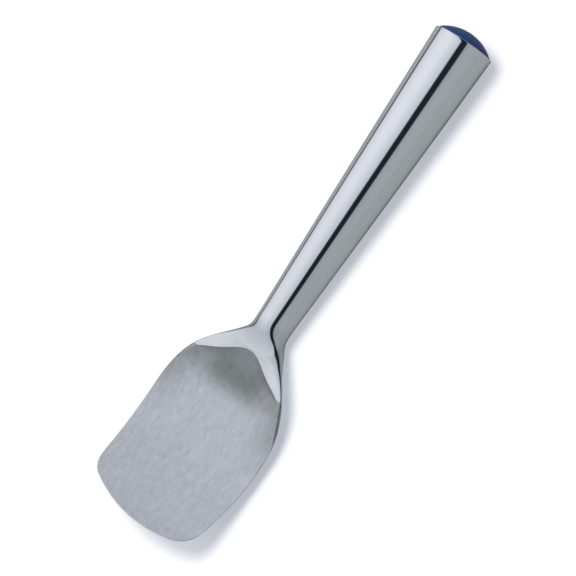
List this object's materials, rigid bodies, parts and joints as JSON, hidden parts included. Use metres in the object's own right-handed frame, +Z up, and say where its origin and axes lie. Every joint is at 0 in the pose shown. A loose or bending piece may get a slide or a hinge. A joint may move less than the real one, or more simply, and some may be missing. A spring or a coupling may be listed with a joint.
{
  "type": "ice cream spade",
  "caption": "Cast aluminium ice cream spade: broad bowed blade with a ground upper face, rounded shoulders and a hollow tapered handle closed by a blue plug.",
  "frame": {"origin": "on the surface the spade lies on, below the middle of its bounding box", "axes": "+X along the spade, from the blade's tip towards the handle's plug, +Y across the blade, +Z up, the way the blade's ground face looks"},
  "size_m": [0.2674, 0.0712, 0.0298],
  "materials": {
    "cast_aluminium": "mirror polished, with the blade's upper face brushed lengthwise",
    "blue_plastic": "moulded, low gloss"
  },
  "bodies": {
    "root": {"spade_body": "cast_aluminium", "end_plug": "blue_plastic"}
  },
  "joints": []
}
